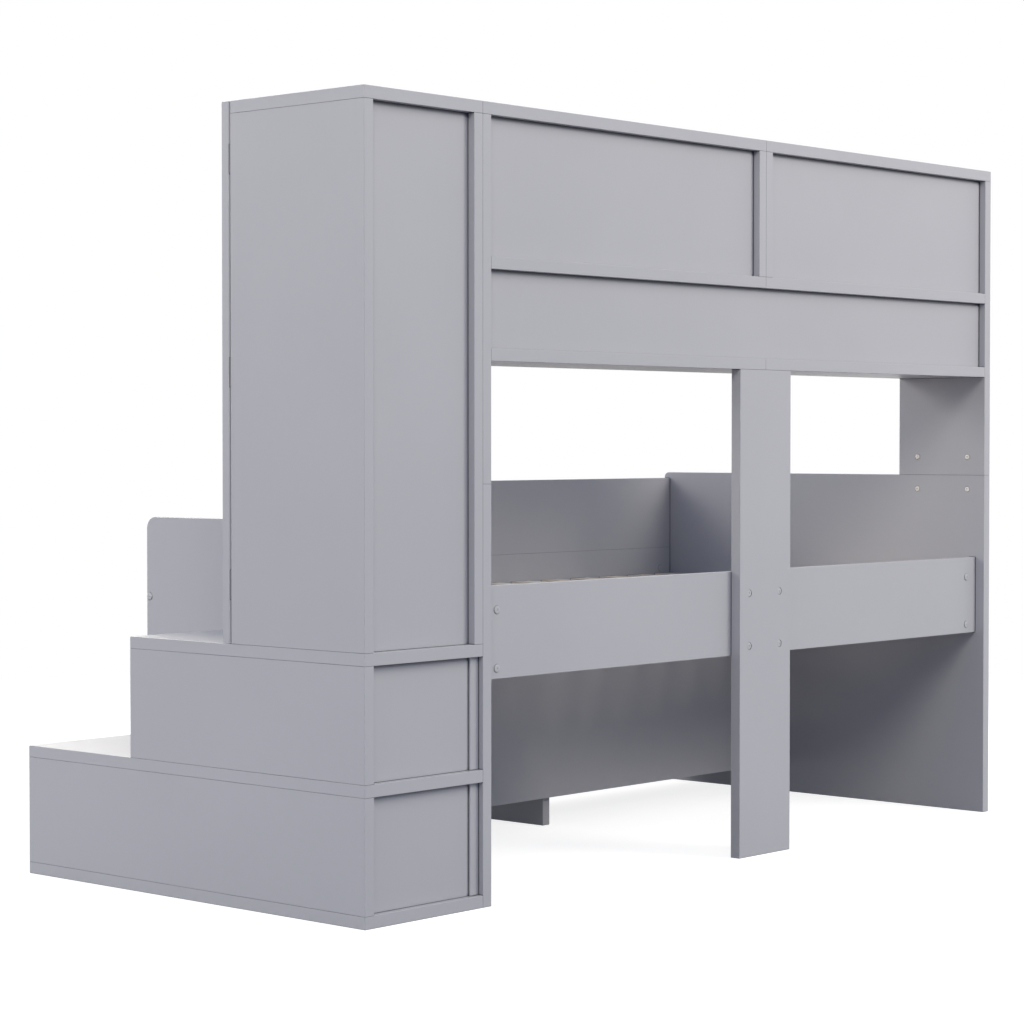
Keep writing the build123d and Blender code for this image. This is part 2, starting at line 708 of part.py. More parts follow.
nut_points = [(x, line, row) for x in nut_columns for line, row in rail_points]
with BuildPart() as barrel_nuts:
    with Locations(*nut_points):
        Cylinder(nut_radius, nut_length, rotation=(90, 0, 0))
        Cylinder(bolt_radius + thread_clearance, 4 * nut_radius, rotation=(0, 90, 0), mode=Mode.SUBTRACT)
save(barrel_nuts, "barrel_nuts")

nut_plug_length = (rail_board - nut_length) / 2 - nut_plug_gap
nut_cap_faces = [
    facing(x, line + rail_board / 2, row, (0, 1, 0)) for x in nut_columns for line, row in rail_points
]
with BuildPart() as nut_caps:
    with Locations(*nut_cap_faces):
        Cylinder(cap_radius, cap_thickness, align=(Align.CENTER, Align.CENTER, Align.MIN))
        Cylinder(nut_plug_radius, nut_plug_length, align=(Align.CENTER, Align.CENTER, Align.MAX))
    fillet(nut_caps.edges().filter_by(GeomType.CIRCLE).group_by(SortBy.RADIUS)[-1], radius=cap_rounding)
    with Locations(*nut_cap_faces):
        with Locations((0, 0, cap_thickness)):
            Cylinder(
                cap_dimple_radius,
                cap_dimple_depth,
                align=(Align.CENTER, Align.CENTER, Align.MAX),
                mode=Mode.SUBTRACT,
            )
save(nut_caps, "nut_caps")

# Cams with their covers, and the bolts that run between each pair of cams
cam_levels = (end_panel_height - cam_drop, end_panel_height + cam_rise)
inner_cam_faces = [
    face
    for level in cam_levels
    for face in cam_faces(x_inner_near, level, (-1, 0, 0)) + cam_faces(x_inner_far, level, (1, 0, 0))
]
cam_bolt_low = cam_levels[0] + cam_radius
cam_bolt_length = cam_levels[1] - cam_radius - cam_bolt_low
with BuildPart() as cam_fittings:
    with Locations(*inner_cam_faces):
        Cylinder(cam_radius, cam_depth, align=(Align.CENTER, Align.CENTER, Align.MAX))
        Cylinder(cam_cover_radius, cam_cover_thickness, align=(Align.CENTER, Align.CENTER, Align.MIN))
    for x_panel in (middle(x_near_panel), middle(x_far_panel)):
        with Locations(*[(x_panel, line, cam_bolt_low + cam_bolt_length / 2) for line in cam_lines]):
            Cylinder(bolt_radius, cam_bolt_length - 2 * cam_clearance)
save(cam_fittings, "cam_fittings")
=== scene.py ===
import math

import bpy
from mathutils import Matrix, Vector


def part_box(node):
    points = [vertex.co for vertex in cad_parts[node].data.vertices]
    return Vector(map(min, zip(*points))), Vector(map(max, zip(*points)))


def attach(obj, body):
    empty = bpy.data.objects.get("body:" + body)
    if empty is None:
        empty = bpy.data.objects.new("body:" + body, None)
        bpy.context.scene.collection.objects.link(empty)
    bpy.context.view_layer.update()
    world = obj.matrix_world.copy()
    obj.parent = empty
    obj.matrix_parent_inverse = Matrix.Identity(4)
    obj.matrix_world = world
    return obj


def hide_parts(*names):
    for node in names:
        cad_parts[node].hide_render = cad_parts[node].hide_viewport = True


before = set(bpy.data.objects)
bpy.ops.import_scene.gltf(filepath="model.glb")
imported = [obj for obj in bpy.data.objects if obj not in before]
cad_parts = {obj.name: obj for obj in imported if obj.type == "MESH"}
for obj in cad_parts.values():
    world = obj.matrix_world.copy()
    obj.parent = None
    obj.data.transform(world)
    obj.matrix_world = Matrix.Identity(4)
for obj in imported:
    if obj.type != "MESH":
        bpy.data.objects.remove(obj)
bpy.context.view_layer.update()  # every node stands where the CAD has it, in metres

print("frame loaded:", len(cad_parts), "nodes")

# the painted shade in joints, corners and recesses samples this many rays at each look
shadeSamples = 16  # rays of each look into a joint


class Wire:
    # One socket of a node tree. Arithmetic on it adds Math nodes, and node() adds any other node.
    def __init__(self, tree, socket=None):
        self.tree = tree
        self.socket = socket

    def node(self, kind, settings=None, inputs=None, output=0):
        made = self.tree.nodes.new(kind)
        for key, value in (settings or {}).items():
            if key == "switchItems":
                while len(made.index_switch_items) < value:
                    made.index_switch_items.new()
            else:
                setattr(made, key, value)
        for key, value in (inputs or {}).items():
            plug(self.tree, value, made.inputs[key])
        return Wire(self.tree, made.outputs[output])

    def other(self, output):
        return Wire(self.tree, self.socket.node.outputs[output])

    def math(self, operation, first, second=0.0):
        return self.node("ShaderNodeMath", {"operation": operation}, {0: first, 1: second})

    def __add__(self, value):
        return self.math("ADD", self, value)

    def __sub__(self, value):
        return self.math("SUBTRACT", self, value)

    def __rsub__(self, value):
        return self.math("SUBTRACT", value, self)

    def __mul__(self, value):
        return self.math("MULTIPLY", self, value)

    __radd__ = __add__

    def __neg__(self):
        return self * -1.0

    def step(self, low, high):
        # rises smoothly from 0 at low to 1 at high
        return self.node(
            "ShaderNodeMapRange",
            {"interpolation_type": "SMOOTHSTEP"},
            {"Value": self, "From Min": low, "From Max": high},
        )

    def blend(self, first, second):
        # first colour where this wire is 0, second colour where it is 1
        return self.node("ShaderNodeMix", {"data_type": "RGBA"}, {0: self, 6: first, 7: second}, 2)

    def vector(self, operation, value):
        return self.node("ShaderNodeVectorMath", {"operation": operation}, {0: self, 1: value})

    def noise(self, scale, stretch=(1.0, 1.0, 1.0), detail=2.0):
        return self.node(
            "ShaderNodeTexNoise",
            None,
            {"Vector": self.vector("MULTIPLY", stretch), "Scale": scale, "Detail": detail},
        )

    def shadeOpenness(self, reach, lean):
        # how open a point is to light from around it: near 1 on open faces and low in joints and
        # recesses; a lean above 0 also lowers it under ledges. It drives painted shade in the base
        # colour.
        facing = self.node("ShaderNodeNewGeometry", output="Normal").vector("ADD", (0.0, 0.0, lean))
        return self.node(
            "ShaderNodeAmbientOcclusion",
            {"samples": shadeSamples},
            {"Distance": reach, "Normal": facing.vector("NORMALIZE", (0.0, 0.0, 0.0))},
            "AO",
        )

    def relief(self, height):
        # this wire as a bump so many metres high
        return self.node("ShaderNodeBump", None, {"Height": self, "Distance": height})


def plug(tree, value, socket):
    if isinstance(value, Wire):
        tree.links.new(value.socket, socket)
    else:
        socket.default_value = value


# Finishes. Each paint function reads its own dictionary and returns what goes into the shader.


def makeFinish(name, paint, look):
    finish = bpy.data.materials.new(name)
    finish.use_nodes = True
    tree = finish.node_tree
    place = Wire(tree).node("ShaderNodeTexCoord", output="Object")
    for socketName, value in {**paint(place, look), **look.get("fixed", {})}.items():
        plug(tree, value, tree.nodes["Principled BSDF"].inputs[socketName])
    return finish


def paintLacquer(place, look):
    cloud = place.noise(look["cloudScale"], detail=3.0)  # slow drift of tone over the boards
    peel = place.noise(look["peelScale"], detail=2.0)  # fine orange peel of the sprayed coat
    fibre = place.noise(look["fibreScale"], look["fibreStretch"], 3.0)  # faint fibres of the board
    drift = cloud * look["cloudShare"] + fibre * look["fibreShare"]
    shade = drift.step(*look["toneSpan"]).blend(look["darkTone"], look["lightTone"])
    # painted shade: the base colour darkens to the look's shade tone in joints, inner corners and
    # recesses, and under ledges where the lean tilts the look upward
    paintedShade = place.shadeOpenness(look["seamReach"], look["seamLean"]).step(*look["seamSpan"])
    return {
        "Base Color": paintedShade.blend(look["seamTone"], shade),
        "Roughness": look["roughness"] + (peel - 0.5) * look["roughnessSpread"],
        "Normal": (peel * look["peelRelief"] + fibre * look["fibreRelief"]).relief(look["relief"]),
    }


boardLook = {
    "darkTone": (0.403, 0.401, 0.429, 1.0),
    "lightTone": (0.417, 0.415, 0.443, 1.0),
    # the next four values set the painted shade that darkens joints, corners and recesses
    "seamTone": (0.09, 0.09, 0.1, 1.0),
    "seamReach": 0.003,
    "seamLean": 0.0,
    "seamSpan": (0.55, 0.98),
    "roughness": 0.36,
    "roughnessSpread": 0.12,
    "cloudScale": 2.3,
    "cloudShare": 0.85,
    "fibreShare": 0.15,
    "toneSpan": (0.3, 0.7),
    "peelScale": 420.0,
    "peelRelief": 0.7,
    "fibreRelief": 0.3,
    "fibreScale": 60.0,
    "fibreStretch": (1.0, 1.0, 1.0),
    "relief": 0.00003,
    "fixed": {"Specular IOR Level": 0.45},
}
sheetLook = {
    **boardLook,
    "darkTone": (0.402, 0.4, 0.428, 1.0),
    "lightTone": (0.415, 0.413, 0.441, 1.0),
    # painted shade for the recessed sheets: darker, reaching further and leaning up, so that it
    # gathers under the boards above
    "seamTone": (0.06, 0.06, 0.075, 1.0),
    "seamReach": 0.011,
    "seamLean": 0.5,
    "seamSpan": (0.3, 0.9),
    "roughness": 0.42,
    "fibreStretch": (1.0, 1.0, 0.08),
    "fibreScale": 150.0,
}
drawerLook = {
    **boardLook,
    "darkTone": (0.585, 0.565, 0.535, 1.0),
    "lightTone": (0.655, 0.635, 0.605, 1.0),
    # painted shade in the drawers' joints and corners
    "seamTone": (0.25, 0.23, 0.21, 1.0),
    "roughness": 0.55,
    "fibreStretch": (1.0, 0.05, 1.0),
    "fibreScale": 260.0,
    "relief": 0.0001,
}


def paintPine(place, look):
    # boards carry their own tone, which also moves the figure so that no two are alike
    tone = place.node("ShaderNodeAttribute", {"attribute_name": "boardTone"}, output="Fac")
    away, along, up = look["figureShift"]
    shift = {"X": tone * away, "Y": tone * along, "Z": tone * up}
    figure = place.vector("ADD", tone.node("ShaderNodeCombineXYZ", None, shift))
    fibre = figure.noise(look["fibreScale"], look["stretch"], 5.0)
    sweep = figure.noise(look["sweepScale"], look["stretch"], 2.0)
    bands = figure.node(
        "ShaderNodeTexWave",
        {"wave_type": "RINGS", "rings_direction": look["ringsAlong"]},
        {
            "Vector": figure.vector("MULTIPLY", look["ringStretch"]),
            "Scale": look["ringScale"],
            "Distortion": look["ringDistortion"],
            "Detail": look["ringDetail"],
            "Detail Scale": look["ringDetailScale"],
        },
    )
    spots = figure.node(
        "ShaderNodeTexVoronoi",
        None,
        {"Vector": figure.vector("MULTIPLY", look["knotStretch"]), "Scale": look["knotScale"]},
    )
    knot = 1.0 - spots.step(look["knotSize"] * look["knotHeart"], look["knotSize"])
    lateWood = (bands * look["ringShare"] + sweep * look["sweepShare"]).step(*look["lateSpan"])
    grain = lateWood * look["lateShare"] + fibre * look["fibreShare"]
    wood = grain.blend(look["earlyWood"], look["lateWood"])
    aged = (tone * look["toneSpread"]).blend(wood, look["warmWood"])
    ridges = fibre * look["fibreRelief"] + lateWood * look["lateRelief"]
    return {
        "Base Color": knot.blend(aged, look["knotTone"]),
        "Roughness": look["roughness"] + fibre * look["roughnessSpread"],
        "Normal": ridges.relief(look["relief"]),
    }


pineLook = {
    "earlyWood": (0.86, 0.78, 0.67, 1.0),
    "lateWood": (0.74, 0.62, 0.48, 1.0),
    "warmWood": (0.8, 0.68, 0.54, 1.0),
    "knotTone": (0.42, 0.27, 0.16, 1.0),
    "toneSpread": 0.5,
    "figureShift": (9.0, 31.0, 5.0),
    "roughness": 0.55,
    "roughnessSpread": 0.15,
    "fibreScale": 160.0,
    "fibreShare": 0.35,
    "lateShare": 0.75,
    "lateSpan": (0.35, 0.85),
    "sweepShare": 0.35,
    "sweepScale": 12.0,
    "stretch": (1.0, 0.05, 1.0),  # the grain runs along the slats
    "ringsAlong": "Y",
    "ringStretch": (1.0, 0.12, 1.0),
    "ringScale": 9.0,
    "ringShare": 0.65,
    "ringDistortion": 5.0,
    "ringDetail": 2.0,
    "ringDetailScale": 1.2,
    "knotStretch": (1.0, 0.4, 1.0),
    "knotScale": 3.1,
    "knotSize": 0.06,
    "knotHeart": 0.3,
    "fibreRelief": 0.6,
    "lateRelief": 0.4,
    "relief": 0.00025,
}
ledgerLook = {
    **pineLook,
    "stretch": (0.05, 1.0, 1.0),
    "ringsAlong": "X",
    "ringStretch": (0.12, 1.0, 1.0),
    "knotStretch": (0.4, 1.0, 1.0),
}


def paintPlastic(place, look):
    grain = place.noise(look["grainScale"], detail=1.0)
    flow = place.noise(look["flowScale"])
    return {
        "Base Color": flow.step(*look["toneSpan"]).blend(look["darkTone"], look["lightTone"]),
        "Roughness": look["roughness"] + (grain - 0.5) * look["roughnessSpread"],
        "Normal": grain.relief(look["relief"]),
    }


capLook = {
    "darkTone": (0.41, 0.41, 0.435, 1.0),
    "lightTone": (0.45, 0.45, 0.475, 1.0),
    "roughness": 0.28,
    "roughnessSpread": 0.1,
    "grainScale": 2500.0,
    "flowScale": 90.0,
    "toneSpan": (0.35, 0.65),
    "relief": 0.00003,
}
camLook = {
    **capLook,
    "darkTone": (0.76, 0.72, 0.68, 1.0),
    "lightTone": (0.84, 0.8, 0.76, 1.0),
    "roughness": 0.45,
}
runnerLook = {
    **capLook,
    "darkTone": (0.68, 0.68, 0.66, 1.0),
    "lightTone": (0.76, 0.76, 0.74, 1.0),
    "roughness": 0.5,
}


def paintMetal(place, look):
    brush = place.noise(look["brushScale"], look["brushStretch"], 3.0)
    bloom = place.noise(look["bloomScale"], detail=4.0)
    return {
        "Base Color": bloom.step(*look["toneSpan"]).blend(look["darkTone"], look["lightTone"]),
        "Roughness": look["roughness"] + brush * look["roughnessSpread"],
        "Normal": brush.relief(look["relief"]),
    }


rodLook = {
    "darkTone": (0.6, 0.6, 0.61, 1.0),
    "lightTone": (0.67, 0.67, 0.68, 1.0),
    "roughness": 0.12,
    "roughnessSpread": 0.1,
    "brushScale": 300.0,
    "brushStretch": (0.06, 1.0, 1.0),
    "bloomScale": 20.0,
    "toneSpan": (0.3, 0.7),
    "relief": 0.00001,
    "fixed": {"Metallic": 1.0},
}
zincLook = {
    **rodLook,
    "darkTone": (0.47, 0.48, 0.5, 1.0),
    "lightTone": (0.62, 0.62, 0.61, 1.0),
    "roughness": 0.28,
    "roughnessSpread": 0.25,
    "brushStretch": (1.0, 1.0, 1.0),
    "bloomScale": 260.0,
}
knobLook = {
    **rodLook,
    "darkTone": (0.4, 0.4, 0.43, 1.0),
    "lightTone": (0.44, 0.44, 0.47, 1.0),
    "roughness": 0.3,
    "brushScale": 900.0,
    "brushStretch": (1.0, 1.0, 1.0),
    "fixed": {"Metallic": 0.0},
}
hingeLook = {
    **knobLook,
    "darkTone": (0.15, 0.15, 0.165, 1.0),
    "lightTone": (0.18, 0.18, 0.195, 1.0),
    "roughness": 0.4,
}

finishes = {
    "grey_board": makeFinish("greyLacquer", paintLacquer, boardLook),
    "back_sheet": makeFinish("greySheet", paintLacquer, sheetLook),
    "drawer_board": makeFinish("paleFoil", paintLacquer, drawerLook),
    "slat_wood": makeFinish("pineAlongDepth", paintPine, pineLook),
    "runner_plastic": makeFinish("runnerPlastic", paintPlastic, runnerLook),
    "cap_plastic": makeFinish("capPlastic", paintPlastic, capLook),
    "cam_plastic": makeFinish("camPlastic", paintPlastic, camLook),
    "rod_metal": makeFinish("rodChrome", paintMetal, rodLook),
    "knob_metal": makeFinish("knobEnamel", paintMetal, knobLook),
    "hinge_enamel": makeFinish("hingeEnamel", paintMetal, hingeLook),
    "fitting_steel": makeFinish("zincPlate", paintMetal, zincLook),
}
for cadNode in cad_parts.values():
    recordSlot = cadNode.data.materials[0].name
    cadNode.material_slots[0].material = finishes[recordSlot]
ledgerFinish = makeFinish("pineAlongLength", paintPine, ledgerLook)
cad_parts["slat_ledgers"].material_slots[0].material = ledgerFinish
print("finishes made:", len(finishes) + 1)


# What repeats comes from geometry nodes: one tree a kind, grown on points that carry their facing.


socketKinds = {
    float: "NodeSocketFloat",
    int: "NodeSocketInt",
    bpy.types.Material: "NodeSocketMaterial",
}


def growPiece(name, body, slot, spots, sizes, build, replaced=()):
    values = {**sizes, "Finish": finishes[slot]}
    tree = bpy.data.node_groups.new(name + "Tree", "GeometryNodeTree")
    tree.interface.new_socket("Geometry", in_out="INPUT", socket_type="NodeSocketGeometry")
    tree.interface.new_socket("Geometry", in_out="OUTPUT", socket_type="NodeSocketGeometry")
    identifiers = {}
    for label, value in values.items():
        kind = socketKinds[type(value)]
        made = tree.interface.new_socket(label, in_out="INPUT", socket_type=kind)
        identifiers[label] = made.identifier
    given = Wire(tree).node("NodeGroupInput")
    grown = build(given)
    solid = given.node("GeometryNodeRealizeInstances", None, {"Geometry": grown})
    dressed = given.node(
        "GeometryNodeSetMaterial", None, {"Geometry": solid, "Material": given.other("Finish")}
    )
    plug(tree, dressed, tree.nodes.new("NodeGroupOutput").inputs["Geometry"])

    points = bpy.data.meshes.new(name + "Spots")
    points.from_pydata([place for place, facing in spots], [], [])
    facings = points.attributes.new("facing", "FLOAT_VECTOR", "POINT")
    for item, (place, facing) in zip(facings.data, spots):
        item.vector = facing
    piece = bpy.data.objects.new(name, points)
    bpy.context.scene.collection.objects.link(piece)
    modifier = piece.modifiers.new("grow", "NODES")
    modifier.node_group = tree
    for label, value in values.items():
        modifier[identifiers[label]] = value
    evaluated = piece.evaluated_get(bpy.context.evaluated_depsgraph_get())
    mesh = bpy.data.meshes.new_from_object(evaluated)
    piece.modifiers.remove(modifier)
    piece.data = mesh
    mesh.name = name
    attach(piece, body)
    if replaced:
        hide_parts(*replaced)
    print(name, "grown on", len(spots), "spots:", len(mesh.polygons), "faces")


def shadeCrisp(given, geometry, sharpFrom):
    # smooth shading, but for the edges that bend by more than so many degrees
    smooth = given.node("GeometryNodeSetShadeSmooth", None, {"Geometry": geometry})
    bend = given.node("GeometryNodeInputMeshEdgeAngle")
    return given.node(
        "GeometryNodeSetShadeSmooth",
        {"domain": "EDGE"},
        {
            "Geometry": smooth,
            "Selection": given.math("GREATER_THAN", bend, math.radians(sharpFrom)),
            "Shade Smooth": False,
        },
    )


shellShape = {"wings": 4.0, "sharpFrom": 38, "mergeWithin": 0.000001}


def turnedShell(given, profile):
    # a closed shell turned about Z: each ring of the profile is a radius, a lobe and a height
    rings = len(profile)
    columns = given.other("Segments") + 1
    grid = given.node(
        "GeometryNodeMeshGrid",
        None,
        {"Size X": 1.0, "Size Y": 1.0, "Vertices X": columns, "Vertices Y": rings},
    )
    across = given.node("ShaderNodeSeparateXYZ", None, {0: given.node("GeometryNodeInputPosition")})
    angle = (across + 0.5) * (2 * math.pi)
    ring = given.math("ROUND", (across.other("Y") + 0.5) * (rings - 1.0))
    items = {
        index + 1: given.node("ShaderNodeCombineXYZ", None, {"X": radius, "Y": lobe, "Z": height})
        for index, (radius, lobe, height) in enumerate(profile)
    }
    chosen = given.node(
        "GeometryNodeIndexSwitch", {"data_type": "VECTOR", "switchItems": rings}, {0: ring, **items}
    )
    parts = given.node("ShaderNodeSeparateXYZ", None, {0: chosen})
    lobes = given.math("COSINE", angle * shellShape["wings"])
    radius = parts * (1.0 + parts.other("Y") * lobes)
    spoke = given.node("ShaderNodeCombineXYZ", None, {"X": radius, "Z": parts.other("Z")})
    place = given.node(
        "ShaderNodeVectorRotate", {"rotation_type": "Z_AXIS"}, {"Vector": spoke, "Angle": angle}
    )
    turned = given.node("GeometryNodeSetPosition", None, {"Geometry": grid, "Position": place})
    closed = given.node(
        "GeometryNodeMergeByDistance",
        None,
        {"Geometry": turned, "Distance": shellShape["mergeWithin"]},
    )
    return shadeCrisp(given, closed, shellShape["sharpFrom"])


def onSpots(given, shell):
    # one copy on each spot, with its Z along the spot's facing and its turn left to chance
    facing = given.node(
        "GeometryNodeInputNamedAttribute", {"data_type": "FLOAT_VECTOR"}, {"Name": "facing"}
    )
    upright = given.node("FunctionNodeAlignRotationToVector", {"axis": "Z"}, {"Vector": facing})
    turn = given.node(
        "FunctionNodeRandomValue",
        None,
        {"Min": 0.0, "Max": math.pi, "Seed": given.other("Seed")},
        output="Value",
    )
    copies = given.node(
        "GeometryNodeInstanceOnPoints",
        None,
        {"Points": given.other("Geometry"), "Instance": shell, "Rotation": upright},
    )
    spin = given.node("ShaderNodeCombineXYZ", None, {"Z": turn})
    return given.node(
        "GeometryNodeRotateInstances",
        None,
        {"Instances": copies, "Rotation": spin, "Local Space": True},
    )


# the dome from its rim to its top: shares of the cap's radius, and of its height from the top down
domeRings = ((1.0, 0.5), (0.965, 0.3), (0.88, 0.14), (0.72, 0.05), (0.45, 0.0))
dimpleTaper = 0.85


def growCaps(given):
    # a domed cap with a dimple, and the bolt or plug under it; a spot is the top of its dome
    radius, height = given.other("Cap Radius"), given.other("Cap Height")
    stem, length = given.other("Stem Radius"), given.other("Stem Length")
    dimple, depth = given.other("Dimple Radius"), given.other("Dimple Depth")
    profile = [
        (0.0, 0.0, -length),
        (stem, 0.0, -length),
        (stem, 0.0, -height),
        (radius, 0.0, -height),
        *[(radius * across, 0.0, height * -drop) for across, drop in domeRings],
        (dimple, 0.0, 0.0),
        (dimple * dimpleTaper, 0.0, -depth),
        (0.0, 0.0, -depth),
    ]
    return onSpots(given, turnedShell(given, profile))


screwShape = {
    "point": 3.0,  # length of the point, in shank radii; what follows is in head radii
    "rim": 0.9,
    "wingTop": 0.42,
    "wingFoot": 0.25,
    "wingDepth": 0.45,
    "recessDepth": 0.5,
    "lobe": 0.5,  # how far the recess's outline goes in and out
}


def growScrews(given):
    # a countersunk screw with a four-winged recess; a spot is where the surface meets its head
    radius, rise = given.other("Head Radius"), given.other("Head Rise")
    shank, length = given.other("Shank Radius"), given.other("Shank Length")
    profile = [
        (0.0, 0.0, -length),
        (shank, 0.0, shank * screwShape["point"] - length),
        (shank, 0.0, shank - radius),
        (radius, 0.0, 0.0),
        (radius * screwShape["rim"], 0.0, rise),
        (radius * screwShape["wingTop"], screwShape["lobe"], rise),
        (
            radius * screwShape["wingFoot"],
            screwShape["lobe"],
            rise - radius * screwShape["wingDepth"],
        ),
        (0.0, 0.0, rise - radius * screwShape["recessDepth"]),
    ]
    return onSpots(given, turnedShell(given, profile))


slatShape = {"edgeSteps": 4, "sharpFrom": 60}


def growSlats(given):
    # one planed board with eased edges on each spot, each with its own tone
    section = given.node(
        "GeometryNodeCurvePrimitiveQuadrilateral",
        None,
        {"Width": given.other("Width"), "Height": given.other("Thickness")},
    )
    eased = given.node(
        "GeometryNodeFilletCurve",
        {"mode": "POLY"},
        {
            "Curve": section,
            "Radius": given.other("Edge Radius"),
            "Count": slatShape["edgeSteps"],
        },
    )
    half = given.other("Length") * 0.5
    spine = given.node(
        "GeometryNodeCurvePrimitiveLine",
        None,
        {
            "Start": given.node("ShaderNodeCombineXYZ", None, {"Y": -half}),
            "End": given.node("ShaderNodeCombineXYZ", None, {"Y": half}),
        },
    )
    board = given.node(
        "GeometryNodeCurveToMesh", None, {"Curve": spine, "Profile Curve": eased, "Fill Caps": True}
    )
    crisp = shadeCrisp(given, board, slatShape["sharpFrom"])
    copies = given.node(
        "GeometryNodeInstanceOnPoints", None, {"Points": given.other("Geometry"), "Instance": crisp}
    )
    seed = given.other("Seed")
    tone = given.node("FunctionNodeRandomValue", None, {"Seed": seed}, output="Value")
    return given.node(
        "GeometryNodeStoreNamedAttribute",
        {"data_type": "FLOAT", "domain": "INSTANCE"},
        {"Geometry": copies, "Name": "boardTone", "Value": tone},
    )


slatSizes = {"Width": 0.07, "Edge Radius": 0.002, "Seed": 7}
slatPlaces = {"count": 16, "screwInset": 0.016}
slatLow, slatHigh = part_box("slats")
slatMiddle = (slatLow + slatHigh) / 2
slatSizes["Thickness"] = slatHigh.z - slatLow.z
slatSizes["Length"] = slatHigh.y - slatLow.y
slatFirst = slatLow.x + slatSizes["Width"] / 2
slatStep = (slatHigh.x - slatLow.x - slatSizes["Width"]) / (slatPlaces["count"] - 1)
slatLines = [slatFirst + slatStep * i for i in range(slatPlaces["count"])]
up, back, front, near, far = (0, 0, 1), (0, 1, 0), (0, -1, 0), (1, 0, 0), (-1, 0, 0)
slatSpots = [((x, slatMiddle.y, slatMiddle.z), up) for x in slatLines]
growPiece("pineSlats", "frame", "slat_wood", slatSpots, slatSizes, growSlats, ["slats"])

# Bolt caps and nut caps, on the boards' faces
stairPanelLow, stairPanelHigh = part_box("stair_end_panel")
farPanelLow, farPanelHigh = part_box("far_end_panel")
rearRailLow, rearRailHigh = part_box("rear_rail")
frontRailLow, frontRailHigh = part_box("front_rail")
_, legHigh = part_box("middle_leg")
_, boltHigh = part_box("rail_bolts")
rearLine = (rearRailLow.y + rearRailHigh.y) / 2
frontLine = (frontRailLow.y + frontRailHigh.y) / 2
boltPlaces = {
    "rearRows": (0.495, 0.619),
    "frontRows": (0.487, 0.611),
    "legInsets": (0.0365, 0.1545),
    "nutInset": 0.045,
    "sink": 0.0002,  # how far the top of a cap lies below the board's face
}
capSizes = {
    "Segments": 32,
    "Seed": 3,
    "Cap Radius": 0.0085,
    "Cap Height": 0.0026,
    "Dimple Radius": 0.0017,
    "Dimple Depth": 0.0012,
    "Stem Radius": 0.003,
}
railPlaces = [(rearLine, level) for level in boltPlaces["rearRows"]]
railPlaces += [(frontLine, level) for level in boltPlaces["frontRows"]]
boltSpots = [((farPanelLow.x + boltPlaces["sink"], y, z), far) for y, z in railPlaces]
rearBoltX = stairPanelHigh.x - boltPlaces["sink"]
boltSpots += [((rearBoltX, rearLine, z), near) for z in boltPlaces["rearRows"]]
boltSpots += [((boltHigh.x, frontLine, z), near) for z in boltPlaces["frontRows"]]
boltSizes = {**capSizes, "Stem Length": 0.081}
growPiece("railBoltCaps", "frame", "cap_plastic", boltSpots, boltSizes, growCaps, ["rail_bolts"])

legSpots = [
    ((legHigh.x - inset, legHigh.y - boltPlaces["sink"], z), back)
    for inset in boltPlaces["legInsets"]
    for z in boltPlaces["rearRows"]
]
legBoltSizes = {**capSizes, "Stem Length": 0.0444}
growPiece("legBoltCaps", "frame", "cap_plastic", legSpots, legBoltSizes, growCaps, ["leg_bolts"])

nutSizes = {**capSizes, "Stem Radius": 0.0055, "Stem Length": 0.0044}
nutSpots = []
for railHigh, railLow, rows in (
    (rearRailHigh, rearRailLow, boltPlaces["rearRows"]),
    (frontRailHigh, frontRailLow, boltPlaces["frontRows"]),
):
    columns = (railLow.x + boltPlaces["nutInset"], railHigh.x - boltPlaces["nutInset"])
    nutSpots += [((x, railHigh.y + nutSizes["Cap Height"], z), back) for x in columns for z in rows]
growPiece("nutCaps", "frame", "cap_plastic", nutSpots, nutSizes, growCaps, ["nut_caps"])

# Cams with covers on the inner faces, and the bolts that run between them inside the boards
camPlaces = {"lines": (0.4825, 0.3275), "levels": (0.848, 0.933), "boltFoot": 0.8556}
camSizes = {
    **capSizes,
    "Cap Radius": 0.0066,
    "Cap Height": 0.0008,
    "Dimple Radius": 0.0022,
    "Dimple Depth": 0.004,
    "Stem Radius": 0.0064,
    "Stem Length": 0.0158,
}
camSpots = []
for y in camPlaces["lines"]:
    for z in camPlaces["levels"]:
        camSpots.append(((stairPanelLow.x - camSizes["Cap Height"], y, z), far))
        camSpots.append(((farPanelHigh.x + camSizes["Cap Height"], y, z), near))
growPiece("camCovers", "frame", "cam_plastic", camSpots, camSizes, growCaps, ["cam_fittings"])


pinBevel = 0.3  # share of the radius


def growPins(given):
    # a plain pin on each spot, standing on it
    radius, length = given.other("Radius"), given.other("Length")
    bevel = radius * pinBevel
    profile = [
        (0.0, 0.0, 0.0),
        (radius - bevel, 0.0, 0.0),
        (radius, 0.0, bevel),
        (radius, 0.0, length - bevel),
        (radius - bevel, 0.0, length),
        (0.0, 0.0, length),
    ]
    return onSpots(given, turnedShell(given, profile))


camBoltSizes = {"Segments": 16, "Seed": 4, "Radius": 0.003, "Length": 0.0698}
panelMiddles = ((stairPanelLow.x + stairPanelHigh.x) / 2, (farPanelLow.x + farPanelHigh.x) / 2)
camBoltSpots = [
    ((x, y, camPlaces["boltFoot"]), up) for x in panelMiddles for y in camPlaces["lines"]
]
growPiece("camBolts", "frame", "fitting_steel", camBoltSpots, camBoltSizes, growPins)

# Countersunk screws
screwSizes = {
    "Segments": 16,
    "Seed": 11,
    "Head Radius": 0.0036,
    "Head Rise": 0.0001,
    "Shank Radius": 0.0015,
    "Shank Length": 0.03,
}
slatEnds = (slatLow.y + slatPlaces["screwInset"], slatHigh.y - slatPlaces["screwInset"])
slatScrewSpots = [((x, y, slatHigh.z), up) for x in slatLines for y in slatEnds]
growPiece("slatScrews", "frame", "fitting_steel", slatScrewSpots, screwSizes, growScrews)

